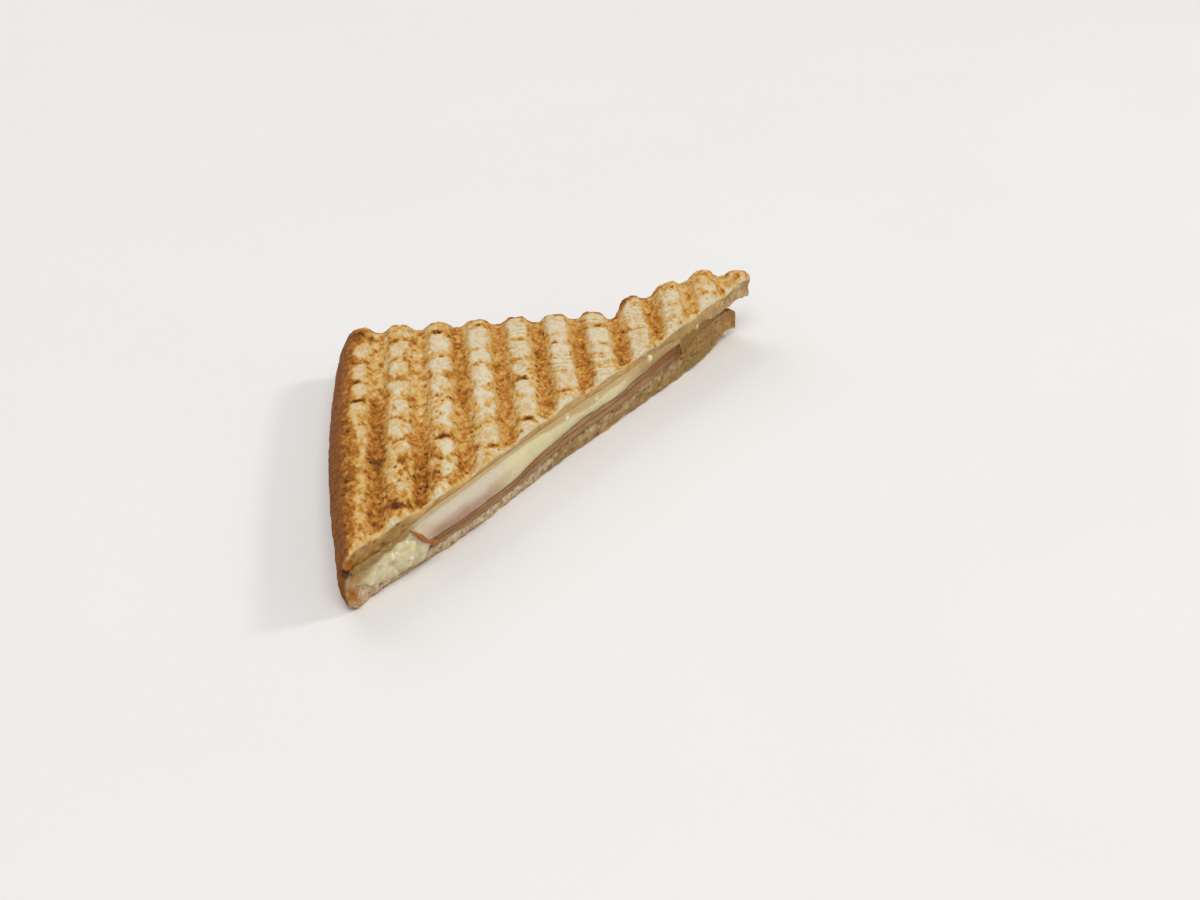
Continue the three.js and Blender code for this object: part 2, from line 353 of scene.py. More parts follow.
def groove_distance(a):
    """Distance from the middle of the nearest pressed groove."""
    turns = (a - FIRST_GROOVE) / RIB_PITCH
    return np.abs(turns - np.round(turns)) * RIB_PITCH


def rib(a):
    return ramp(groove_distance(a), GROOVE_HALF, RIB_PITCH / 2 - CREST_HALF)


def inside(a, v):
    return ramp(a, 0, CRUST_RUN) * ramp(v - back_edge(a), 0, CRUST_RUN)


def lift(a, v):
    away = np.maximum(0, cut_edge(a) - v)
    curl = ramp(a, LIFT_FROM, LIFT_FULL) * np.minimum(LIFT_MOST, LIFT_AT_CUT + LIFT_SLOPE * away)
    return TIP_RISE * ramp(a, TIP_FROM, LENGTH) + curl


def cut_rim(a, v):
    """1 at the cut, 0 away from it."""
    return fade(cut_edge(a) - v, 0, CUT_RIM)


def top_face(a, v):
    edge = 1 - np.clip((v - back_edge(a)) / CRUST_ROUND, 0, 1)
    rim = cut_rim(a, v)
    crown = hump(a, *CROWN) * inside(a, v)
    groove = TOP_DEPTH * (1 - rib(a)) * mix(1, GROOVE_LEFT, rim)
    return CREST_Z + crown - groove - RIM_DROP * rim - CRUST_DROP * edge**2 + lift(a, v)


def seam(a, v):
    return SEAM_Z + SEAM_RISE * ramp(v, 78, 104) * fade(a, 4, 12)


def upper_inside(a, v):
    thick = 1.9 * fade(a, 10, 24) + 2.6 * ramp(a, 86, 104)
    front, end = UPPER_HANGS
    thin = (hump(a, *UPPER_THIN) - hump(a, *front) - hump(a, *end)) * cut_rim(a, v)
    return mix(seam(a, v) + SEAM_GAP / 2, UPPER_INSIDE_Z - thick + thin, inside(a, v)) + lift(a, v)


def lower_inside(a, v):
    thick = 1.6 * fade(a, 6, 18) + 1.6 * ramp(a, 40, 56) + 2.4 * ramp(a, 62, 92) + 2.5 * ramp(a, 88.5, 94.5)
    return mix(seam(a, v) - SEAM_GAP / 2, LOWER_INSIDE_Z + thick, inside(a, v))


def under_face(a, v):
    groove = UNDER_DEPTH * (1 - rib(a)) * mix(1, UNDER_GROOVE_LEFT, cut_rim(a, v))
    return groove + LOWER_RISE * ramp(a, LOWER_END_FROM, LOWER_END)


def rounded_side(a, low, high, close_at):
    """The two faces of a slice, closing towards one height where the side crust rounds."""
    share = np.sqrt(1 - (1 - np.minimum(1, a / CRUST_ROUND)) ** 2)
    middle = mix(low, high, close_at)
    return mix(middle, low, share), mix(middle, high, share)


def ham_room(a):
    """Thickness of the two ham leaves, before the rounding of their ends."""
    dips = hump(a, 38, 0.45, 6) + hump(a, 52, 0.5, 4.5) + hump(a, 69, 0.8, 4.5)
    return 2 * mix(THIN_LEAF, THICK_LEAF, ramp(a, 40, 60)) - dips


def to_part(a, v, z):
    """Slice terms in millimetres to the part's frame in metres."""
    x, y = a - side_bow(a, v), -v
    c, s = math.cos(-TURN), math.sin(-TURN)
    return np.stack([x * c - y * s + ORIGIN[0], x * s + y * c + ORIGIN[1], z], -1) * MM


def to_slice(points):
    """The part's frame in metres to slice terms in millimetres."""
    x, y = points[:, 0] / MM - ORIGIN[0], points[:, 1] / MM - ORIGIN[1]
    c, s = math.cos(TURN), math.sin(TURN)
    across, v = x * c - y * s, -(x * s + y * c)
    a = across
    for _ in range(5):
        a = across + side_bow(np.maximum(a, 0), v)
    return a, v, points[:, 2] / MM


# ---- meshes ----


def closed_mesh(name, points):
    """A closed mesh from loops of points (loop, point, 3), with both end loops filled."""
    n, m, _ = points.shape
    i, j = np.meshgrid(np.arange(n - 1), np.arange(m), indexing="ij")
    p, q = i * m + j, i * m + (j + 1) % m
    quads = np.stack([p, q, q + m, p + m], -1).reshape(-1, 4)
    faces = quads.tolist() + [list(range(m))[::-1], list(range((n - 1) * m, n * m))]
    mesh = bpy.data.meshes.new(name)
    mesh.from_pydata(points.reshape(-1, 3).tolist(), [], faces)
    mesh.update()
    return mesh


def loft(name, a, v, z):
    """A closed mesh from one loop of v and z for each place along a."""
    return closed_mesh(name, to_part(np.broadcast_to(a[:, None], v.shape), v, z))


def add_object(name, data):
    item = bpy.data.objects.new(name, data)
    bpy.context.scene.collection.objects.link(item)
    return item


def remeshed(mesh, step):
    """The same solid with even faces of that size."""
    piece = add_object(mesh.name, mesh)
    remesh = piece.modifiers.new("Even faces", "REMESH")
    remesh.mode, remesh.voxel_size = "VOXEL", step
    even = bpy.data.meshes.new_from_object(piece.evaluated_get(bpy.context.evaluated_depsgraph_get()))
    bpy.data.objects.remove(piece)
    bpy.data.meshes.remove(mesh)
    return even


def joined(name, meshes):
    """One mesh of several."""
    points, faces, start = [], [], 0
    for mesh in meshes:
        points += [tuple(vertex.co) for vertex in mesh.vertices]
        faces += [[start + k for k in face.vertices] for face in mesh.polygons]
        start = len(points)
        bpy.data.meshes.remove(mesh)
    whole = bpy.data.meshes.new(name)
    whole.from_pydata(points, [], faces)
    whole.update()
    return whole


def rows_of(items, key):
    """One three-number property of many items."""
    values = np.empty(len(items) * 3, np.float32)
    items.foreach_get(key, values)
    return values.reshape(-1, 3).astype(float)


def places(mesh):
    """Where the mesh's points are, in slice terms."""
    return to_slice(rows_of(mesh.vertices, "co"))


def put_points(mesh, points):
    mesh.vertices.foreach_set("co", points.astype(np.float32).ravel())
    mesh.update()


def move_out(mesh, height):
    """Moves every point along its normal by that height in millimetres."""
    points, normals = rows_of(mesh.vertices, "co"), rows_of(mesh.vertex_normals, "vector")
    low, high = np.array(cad_box) + [[BOX_INSET], [-BOX_INSET]]
    put_points(mesh, np.clip(points + normals * (height * MM)[:, None], low, high))


def paint(mesh, **layers):
    """Stores each named layer of per-point values on the mesh, for its material to read."""
    for name, values in layers.items():
        layer = mesh.attributes.new(name, "FLOAT", "POINT")
        layer.data.foreach_set("value", np.broadcast_to(values, len(mesh.vertices)).astype(np.float32))


def finish_piece(name, mesh, material, node):
    """Adds the mesh to the scene as the piece that stands for a node."""
    mesh.name = name
    mesh.shade_smooth()
    mesh.materials.clear()
    mesh.materials.append(material)
    piece = add_object(name, mesh)
    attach(piece, "root")
    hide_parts(node)


def spread(start, end, shares):
    """Each loop's values from start to end (both per loop) at those shares."""
    return start[:, None] + (end - start)[:, None] * np.asarray(shares)[None, :]


def rounding(share, reach):
    """How far a face stands back near its start, where its edge is rounded over that share of it."""
    return np.sqrt(1 - (1 - np.minimum(1, share / reach)) ** 2) - 1


def slab(a, back, front, faces, lip, rounds):
    """A slab of bread from its outline and faces(a, v), the heights of its underside and its top.

    The loops run along the top, the cut face, the underside and the back face. The cut's top edge
    stands back by the lip, and its two edges are rounded by those radii."""
    rows = np.linspace(0, 1, SIDE_ROWS + 2)[1:-1]
    column = a[:, None]
    v_top = spread(back, front - lip - rounds[0], np.sin(np.linspace(0, 1, TOP_ROWS) * np.pi / 2) ** 1.2)
    v_under = spread(front - rounds[1], back, 1 - np.sin(np.linspace(1, 0, UNDER_ROWS) * np.pi / 2) ** 1.2)
    z_top, z_under = faces(column, v_top)[1], faces(column, v_under)[0]
    v_cut = spread(front - lip, front, rows)
    v_cut = v_cut + rounds[0] * rounding(rows, 0.25) + rounds[1] * rounding(1 - rows, 0.25)
    z_cut = spread(z_top[:, -1], z_under[:, 0], rows)
    v_back = spread(v_under[:, -1], v_top[:, 0], rows) - CRUST_BULGE * np.sin(np.pi * rows)
    z_back = spread(z_under[:, -1], z_top[:, 0], rows)
    v = np.concatenate([v_top, v_cut, v_under, v_back], 1)
    return loft("bread", a, v, np.concatenate([z_top, z_cut, z_under, z_back], 1))


# ---- toasting ----


def crests(a, v, p, cracks, seed):
    """Each point's crest, its distance from the crest's middle and from the nearest crack, that crack's
    own strength and its sideways place."""
    crest = np.clip(np.round((a - FIRST_GROOVE) / RIB_PITCH + 0.5), 0, len(cracks) - 1).astype(int)
    across = a - FIRST_GROOVE - RIB_PITCH * (crest - 0.5) - (crest == 0) * mix(0.7, 2.2, ramp(v, 48, 66))
    across = across + 0.7 * noise(p, 3.4, seed) + 0.35 * noise(p, 1.4, seed + 1)
    along = v + 0.05 * across**2 + 0.8 * noise(p, 2.8, seed + 2)
    from_crack, strength, shift = np.full_like(a, 9.0), np.zeros_like(a), np.zeros_like(a)
    for number, row_places in enumerate(cracks):
        on = crest == number
        ends = np.array([-30.0, *row_places, 140.0])
        k = np.clip(np.searchsorted(ends, along[on]), 1, len(ends) - 1)
        before, after = along[on] - ends[k - 1], ends[k] - along[on]
        nearest = np.where(before < after, k - 1, k)
        from_crack[on] = np.minimum(np.abs(before), np.abs(after))
        row = np.full_like(nearest, number)
        strength[on] = 0.4 + 0.6 * lattice_value(seed, row, nearest, nearest * 3)
        shift[on] = 2 * lattice_value(seed + 9, row, nearest, nearest * 5) - 1
    return crest, across, from_crack, strength, shift


def beads(across, from_crack, crack, grain, half_width, slim):
    """How pale and how full the crest is: soft pillows between its cracks."""
    waist = mix(3.8, 2.0, slim) * crack * np.exp(-((from_crack / mix(2.4, 1.9, slim)) ** 2))
    edge = np.abs(across) - half_width + waist
    return fade(edge + 0.55 * grain, -1.3, 1.2), fade(edge, -2.6, 0.9)


def crack_marks(across, from_crack, crack, shift, grain, fine):
    """Browned smears around the cracks, and the open slits within them."""
    aside = across - 0.9 * shift
    smear = spot(from_crack, 0, 1.15, aside, 0, 1.6) * np.clip(0.85 + 0.8 * grain, 0, 1.4)
    slit = np.exp(-((from_crack / 0.5) ** 2) - (aside / 0.95) ** 4) * np.clip(0.7 + 1.4 * fine, 0, 1)
    return crack * smear, ramp(crack, 0.45, 0.9) * slit


def groove_strength(a, v):
    """How brown each groove is pressed: the first two only near the cut, the last ones faintly."""
    number = np.round((a - FIRST_GROOVE) / RIB_PITCH)
    strength = np.ones_like(a)
    strength = np.where(number == 0, mix(0.1, 1.35, ramp(v, 26, 56)), strength)
    strength = np.where(number == 1, mix(0.15, 1.4, ramp(v, 40, 70)), strength)
    strength = np.where(number == 8, 0.6, strength)
    return np.where(number > 8, 0.2, strength)


def browned_edges(a, v, coarse, grain):
    """How brown the upper face is along its crusts."""
    from_back = v - back_edge(a)
    golden = most(fade(from_back, 5, 13) * fade(a, 28, 44), ramp(a, 79, 88) * fade(from_back, 6, 12)) * 0.42
    rim = fade(from_back + 1.2 * coarse, 2.0, 6.4) * mix(0.48, 0.66, ramp(a, 24, 44))
    rim = rim * mix(1, 0.68, ramp(a, 80, 90))
    rim = most(rim, 0.64 * fade(from_back, 0.2, 1.6), hump(a, 76, 0.85, 3.6) * fade(from_back, 4.5, 7.5))
    side = a + 0.8 * coarse + 0.5 * grain - 1.1 * ramp(v, 48, 66)
    side = 0.67 * fade(side, 3.6, 5.2) + 0.08 * fade(side, 0.8, 2.6)
    return most(golden, rim, side, 0.86 * spot(a, 4.5, 4.6, v, 6.5, 6.0))


def toasted_top(a, v, p):
    """How brown each point of the upper face is, from 0 to 1, how deep it is split, and how full the
    crest stands there."""
    coarse, grain, fine = noise(p, 2.6, 41), noise(p, 1.25, 42), noise(p, 0.7, 43, 1)
    from_back = v - back_edge(a)
    from_cut = (cut_edge(a) - v) * SQUARE_TO_CUT

    crest, across, from_crack, crack, shift = crests(a, v, p, CRACKS, 5)
    crack = crack * (1 - 0.7 * (crest == 0) * ramp(v, 56, 66))
    slim = (crest > 4) * 1.0
    half_width = mix(3.1, 3.3, slim) - (crest == 0) * mix(0.3, 1.4, ramp(v, 48, 66))
    pale, full = beads(across, from_crack, crack, grain, half_width, slim)
    front_side = fade(a, 14, 32)
    toast = mix(0.42, 0.1 + 0.08 * front_side + 0.15 * (crest == 0) * ramp(v, 54, 68), pale)

    strength = groove_strength(a, v) * (1 + 0.22 * noise(p, 9, 44, 1)) * mix(0.75, 1, ramp(from_back, 4, 12))
    distance = np.abs(groove_distance(a) + 0.5 * noise(p, 3.2, 45) + 0.45 * grain)
    groove = strength * fade(distance, 0.6, 2.9)
    fringe = (strength > 0.3) * fade(distance, 1.8, 3.6)
    pressed = 0.36 * fringe + 0.27 * groove
    toast = most(toast, pressed)

    mottled = most(spot(a, 19, 15, v, 76, 22), 0.6 * spot(a, 30, 14, v, 52, 16), 0.5 * spot(a, 52, 6, v, 42, 9))
    toast = toast + mottled * (0.5 - toast) * np.clip(0.6 + 0.8 * coarse + 0.5 * grain, 0, 1)
    toast = most(toast, pressed * ramp(v, 56, 68))
    toast = toast - 0.3 * mottled * dots(p, 3.0, 48, 0.12, 0.42, 0.45) * (1 - groove)

    smear, split = crack_marks(across, from_crack, crack, shift, grain, fine)
    toast = toast + 0.4 * smear * mix(0.3, 1, pale)
    wrinkle = np.abs((v + 0.07 * across**2 + 1.5 * coarse) / 1.9 % 1 - 0.5) * 1.9
    wrinkled = most(ramp(noise(p, 7.0, 49, 1), 0.0, 0.5), hump(a, 81, 0.8, 8))
    wrinkle = fade(wrinkle, 0.1, 0.5) * wrinkled * (crest > 3) * pale
    toast = toast + 0.22 * wrinkle
    scorch = 0.0
    for at, row, size, depth in SCORCHES:
        scorch = most(scorch, depth * spot(a, at, 1.3 * size, v + 0.6 * coarse, row, size / 1.4))
    toast = toast + scorch * np.clip(0.9 + 0.7 * grain, 0, 1.3)
    split = most(split, 0.35 * wrinkle) * ramp(from_back, 4, 7)

    toast = most(toast, browned_edges(a, v, coarse, grain))
    toast = toast * mix(0.45, 1, ramp(from_cut + 0.9 * coarse + 0.5 * grain, 0.2, 2.4)) + 0.05 * (from_cut < 2)
    speck = dots(p * [1, 1, 0.3], 1.7, 47, 0.1, 0.26, mix(0.8, 0.35, np.clip(mottled * 1.4, 0, 1)))
    toast = toast + 0.32 * speck
    grainy = (0.06 + 0.15 * ramp(toast, 0.12, 0.4)) * (1 - 0.5 * ramp(toast, 0.5, 0.66))
    toast = toast + grainy * grain + 0.05 * coarse + 0.08 * fine + 0.055 * front_side
    return toast, np.clip(split + 0.35 * speck, 0, 1), full * (1 - 0.35 * ramp(toast, 0.3, 0.6))


def toasted_under(a, v, p):
    """The same for the lower face, which lay on the other plate."""
    rng = np.random.default_rng(8)
    cracks = [4 + 9.6 * np.arange(12) + rng.normal(0, 1.2, 12) - 0.25 * row for row in range(11)]
    coarse, grain, fine = noise(p, 2.8, 61), noise(p, 1.25, 62), noise(p, 0.7, 68, 1)
    _, across, from_crack, crack, shift = crests(a, v, p, cracks, 63)
    pale, full = beads(across, from_crack, crack, grain, 2.8, 0.0)
    distance = np.abs(groove_distance(a) + 0.5 * noise(p, 4.0, 66) + 0.4 * grain)
    groove = fade(distance, 0.7, 2.9) * (0.9 + 0.3 * noise(p, 12, 67, 1))
    toast = most(mix(0.42, 0.16, pale), 0.36 * fade(distance, 1.8, 3.6) + 0.3 * groove)
    smear, split = crack_marks(across, from_crack, crack, shift, grain, fine)
    toast = toast + 0.36 * smear * pale + 0.16 * ramp(noise(p, 16, 64, 1), 0.1, 0.9)
    edge = fade(np.minimum(v - back_edge(a), a) + 0.8 * coarse, 1.5, 5)
    toast = most(toast, 0.7 * edge)
    toast = toast + (0.06 + 0.15 * ramp(toast, 0.12, 0.4)) * grain + 0.05 * coarse + 0.09 * fine
    return toast, split * (1 - edge), full


def upper_crumb(a, z, p, loose):
    """How soaked and browned the cut crumb of the upper slice is, and how much painted shade and random tone
    darken it.
    """
    soaked = mix(1.15, 0.95, ramp(a, 14, 30)) - 0.4 * ramp(a, 99, 107) + 0.3 * noise(p, 3.5, 84)
    # Painted shade and tone: darker near the side crust, around a 84 and at the tip, with random tone.
    dim = 0.2 + 0.7 * fade(a, 11, 22) + hump(a, 84, 0.3, 12) + 0.25 * ramp(a, 100, 106)
    dim = dim + 0.35 * noise(p, 2.6, 85) + 0.7 * loose * noise(p, 1.5, 87)
    greasy = spot(a + noise(p, 1.8, 89), 3.2, 2.4, z, 11, 1.5)
    browned = 0.7 * fade(a + noise(p, 2.2, 83), 2.0, 5.0) + 0.25 * fade(a, 8, 22)
    return soaked, dim, np.clip(browned + 0.55 * greasy, 0, 1)


def lower_crumb(a, z, p, share):
    """The same for the lower slice, where the share runs from its underside to its top."""
    oiled = ramp(a, 86, 91) * fade(a, 98, 104) * ramp(z + 0.8 * noise(p, 3, 86), 5.5, 9)
    patch = spot(a, 2.7, 1.7, z, 4.8, 1.8)
    soaked = mix(0.4, 0.05, ramp(share, 0.2, 0.7)) + 0.3 * ramp(a, 44, 62)
    soaked = soaked + 0.9 * oiled + 0.2 * noise(p, 3, 84) + 0.8 * patch
    # Painted shade: the crumb darkens towards the pointed end, where the other half shades it, and at its foot;
    # noise adds random tone.
    dim = 0.8 * ramp(a, 43, 54) - hump(a, 64, 0.3, 6) + 0.3 * ramp(a, 82, 90) + 0.45 * ramp(a, 98, 103)
    dim = dim + 0.35 * fade(share, 0.1, 0.6) * ramp(a, 12, 22)
    dim = dim + 0.2 * noise(p, 2.5, 85) + 0.45 * noise(p, 1.3, 88) * ramp(a, 8, 20)
    browned = 0.2 * fade(a, 2.0, 6) + patch + 0.35 * fade(z, 0.4, 2.0) + 0.25 * noise(p, 1.6, 83)
    browned = np.clip(browned, 0, 1) * (0.25 + 0.75 * fade(a, 6, 14))
    return soaked, dim, browned + 0.45 * oiled + 0.15 * ramp(a, 92, 98) + 0.3 * ramp(a, 101.5, 104)


def dress_slice(mesh, settings, low, high, toasted, upper):
    """Roughens a slice's surface and paints how toasted, crusty and crumbly each point is, and where shade is
    painted on its crumb and in its hollows.
    """
    a, v, z = places(mesh)
    normals = rows_of(mesh.vertex_normals, "vector")
    p = np.stack([a, v / GRAIN_LENGTH, z], 1)
    from_cut = (cut_edge(a) - v) * SQUARE_TO_CUT
    from_back = v - back_edge(a)
    share = np.clip((z - low(a, v)) / (high(a, v) - low(a, v)), 0, 1)
    outward = share if upper else 1 - share
    plate = normals[:, 2] * (1 if upper else -1)
    skin = ramp(plate, 0.2, 0.5) * (outward > 0.4)
    end = LENGTH if upper else LOWER_END
    cut_face = ramp(-normals[:, 1], 0.35, 0.75) * fade(from_cut, 1.2, 3.2) * (1 - skin)
    inner = ramp(-plate, 0.3, 0.6) * (outward < 0.6) * ramp(np.minimum(a, from_back), 1.5, 4)
    crumb = most(cut_face, ramp(a, end - 2.2, end - 1.2) * (1 - skin), inner)
    sides = fade(np.minimum(a, from_back), 3, 6)
    crust = most((1 - crumb) * (1 - skin) * sides, (1 - crumb) * fade(a, 1.5, 3.8))

    toast, split, full = toasted(a, v, p)
    crumbling = lumps(p, 1.7, 74)
    loose = most(fade(a, 12, 26), 0.8 * ramp(a, 92, 102))
    seed, rare = (71, mix(0.8, 0.5, loose)) if upper else (81, 0.4)
    pore = dots(p * [0.8, 1, 1.4], 1.4, seed, 0.1, 0.4, rare) * crumb
    dot = dots(p, 2.2, 91, 0.05, 0.17, 0.6) * most(skin, crust)
    rough, wavy = (mix(0.1, 0.26, loose), mix(0.16, 0.34, loose)) if upper else (0.22, 0.22)
    height = skin * settings.grain / MM * lumps(p, 1.35, 72, 0.7, 0.4) * (0.5 + ramp(toast, 0.2, 0.5))
    height += skin * (0.1 * noise(p, 5.0, 75) + 0.4 * full - 0.2)
    height -= settings.crack_depth / MM * split * skin + 0.3 * dot
    height += crust * (0.07 * noise(p, 0.9, 77) + 0.13 * noise(p, 3.0, 78))
    uneven = 2 * rough * crumbling - rough + wavy * noise(p, 3.2, 80)
    height += crumb * (uneven - settings.pore_depth / MM * pore)
    knob = 0.0 if upper else spot(a, 2.5, 3, from_cut, 0.5, 2.5)
    height += 0.7 * knob * (0.4 + crumbling)
    move_out(mesh, height)

    soaked, dim, browned = upper_crumb(a, z, p, loose) if upper else lower_crumb(a, z, p, share)
    # The darkening layer painted here carries painted shade and random darker tone of the crumb; the hollows
    # layer carries painted shade in pores, pits and cracks.
    paint(
        mesh,
        toast=np.clip(toast + 0.22 * split * skin, 0, 1.2),
        crumb=crumb,
        crust=np.clip(crust, 0, 1),
        soak=np.clip(soaked, 0, 1.2),
        browned=browned * crumb,
        dim=np.clip(dim, 0, 1) * crumb,
        hollow=np.clip(pore + 0.6 * dot + 0.52 * split * skin, 0, 1),
    )
    return mesh


def lean_end(mesh):
    """Leans the lower slice's end out at its foot and back at its top, and lifts its lower edge."""
    a, v, z = places(mesh)
    lean = ramp(a, 97, LOWER_END) * mix(1.2, -1.6, ramp(z, 4.5, 11.5))
    share = np.clip((v - back_edge(a)) / (cut_edge(a) - back_edge(a)), 0, 1)
    v = v + mix(back_edge(a + lean) - back_edge(a), cut_edge(a + lean) - cut_edge(a), share)
    put_points(mesh, to_part(a + lean, v, z + 0.9 * ramp(a, 98, 104) * fade(z, 4, 9)))
    return mesh


def slice_stations(end):
    return np.concatenate([[0.02, 0.15, 0.4, 0.8, 1.3, 1.9], np.arange(2.6, end - 0.4, 0.7), [end]])


def upper_slice_mesh(settings):
    a = slice_stations(LENGTH)

    def faces(x, v):
        return rounded_side(x, upper_inside(x, v), top_face(x, v), 0.4)

    torn_back = hump(a, 57, 1.0, 5)
    mesh = remeshed(slab(a, back_edge(a), cut_edge(a), faces, torn_back, (0.7, 0.15)), settings.voxel)
    return dress_slice(mesh, settings, upper_inside, top_face, toasted_top, True)


def lower_slice_mesh(settings):
    a = slice_stations(LOWER_END)
    at_end = ramp(a, LOWER_END_FROM, LOWER_END)

    def faces(x, v):
        return rounded_side(x, under_face(x, v), lower_inside(x, v), 0.6)

    back = back_edge(a) + 0.6 * corner_round(LOWER_END - a) + 2 * at_end
    front = cut_edge(a) - LOWER_SETBACK * at_end
    mesh = remeshed(slab(a, back, front, faces, 0 * a, (0.7, 0.4)), settings.voxel)
    return lean_end(dress_slice(mesh, settings, under_face, lower_inside, toasted_under, False))


# ---- filling ----


def ham_thickness(a):
    end = np.clip(np.minimum((a - HAM_FROM) / HAM_ROUND, (HAM_TO - a) / (HAM_ROUND / 3)), 0, 1)
    return (ham_room(a) + CLEAR) * np.sqrt(1 - (1 - end) ** 2)


def ham_leaves():
    """One slice folded on itself: two leaves with soft rounded edges at the cut."""
    near_end = np.array([0.02, 0.12, 0.3, 0.6, 1.0, 1.5])
    along = np.arange(HAM_FROM + 2, HAM_TO - 0.9, 0.4)
    a = np.concatenate([HAM_FROM + near_end, along, HAM_TO - near_end[4::-1] / 3 * 1.8])
    half = ham_thickness(a) / 2
    back, front = back_edge(a) + 8, cut_edge(a) + 0.2
    line = np.stack([a, 0 * a, 0 * a], 1)
    round_edge = 0.45 * ham_room(a) / 2
    nose = round_edge * np.minimum(1, half * 2 / ham_room(a))
    angles = np.linspace(np.pi / 2, -np.pi / 2, 10)[1:-1]
    rows = np.linspace(0, 1, 14)

    def middle(v):
        return lower_inside(a[:, None], v) + CLEAR / 2 + ham_room(a)[:, None] / 2

    v = spread(back, front - round_edge, rows)
    parts = [(v, middle(v) + half[:, None])]
    for side, seed in ((1, 101), (-1, 102)):
        reach = 0.3 + 0.3 * noise(line, 5.0, seed)
        v = (front - round_edge + reach)[:, None] + nose[:, None] * np.cos(angles)
        centre = middle(np.broadcast_to(front[:, None], v.shape)) + side * half[:, None] / 2
        parts.append((v, centre + half[:, None] / 2 * np.sin(angles)))
        if side > 0:
            v = (front - round_edge - 0.3)[:, None]
            parts.append((v, middle(v)))
    v = spread(front - round_edge, back, rows)
    parts.append((v, middle(v) - half[:, None]))
    v = (back - half / 2)[:, None]
    parts.append((v, middle(v)))
    return loft("ham", a, *(np.concatenate(side, 1) for side in zip(*parts)))


def ham_curl():
    """The fold's edge, which curls up over the cut cheese towards the upper slice."""
    t = np.linspace(0, 1, 60)
    a = 21.6 - 1.7 * t - 3.0 * t**1.5 + 0.12 * np.sin(11 * t)
    z = 4.5 + 6.9 * t
    over_cheese = hump(a, 27, 2.2, 16) * np.sin(np.pi * np.clip((11.6 - z) / 6.6, 0, 1)) ** 0.85
    v = cut_edge(a) + 0.75 + over_cheese
    radius = (1.25 - 0.75 * t) * np.sqrt(np.clip(1 - t**6, 0, 1)) * (1 + 0.15 * np.sin(13 * t)) + 0.02
    turn = np.linspace(0, 2 * np.pi, 15)[:-1]
    ring_a = a[:, None] + (radius * 0.8)[:, None] * np.cos(turn)
    ring_v = v[:, None] + (radius * 1.1)[:, None] * np.sin(turn)
    return closed_mesh("curl", to_part(ring_a, ring_v, np.broadcast_to(z[:, None], ring_a.shape)))


def ham_mesh():
    mesh = joined("ham", [ham_leaves(), ham_curl()])
    a, v, z = places(mesh)
    p = np.stack([a, v, z], 1)
    front = fade(cut_edge(a) - v, 0.5, 3)
    move_out(mesh, front * (0.06 * noise(p * [1, 1, 2.2], 2.2, 103) + 0.04 * noise(p, 0.9, 104)))
    leaf = (z - lower_inside(a, v) - CLEAR) / ham_room(a)
    fold = most(fade(a, HAM_FROM + 0.6, HAM_FROM + 3.5), ramp(leaf, 1.15, 1.6))
    end = ramp(a + 0.4 * noise(p, 2, 105), HAM_TO - 2.4, HAM_TO - 0.8)
    oiled = ramp(leaf, 0.35, 0.75) * ramp(a, 74, 84)
    top_line = 0.6 * ramp(leaf, 0.86, 0.97) * fade(a, 44, 56) + 0.8 * oiled
    # Painted shade: the ham darkens towards its end, which is also painted browned.
    paint(
        mesh,
        leaf=np.clip(leaf, 0, 1),
        browned=np.clip(fold + top_line + end, 0, 1),
        dim=0.35 * ramp(a, 76, 86) + 0.5 * end + 0.2 * oiled,
    )
    return mesh


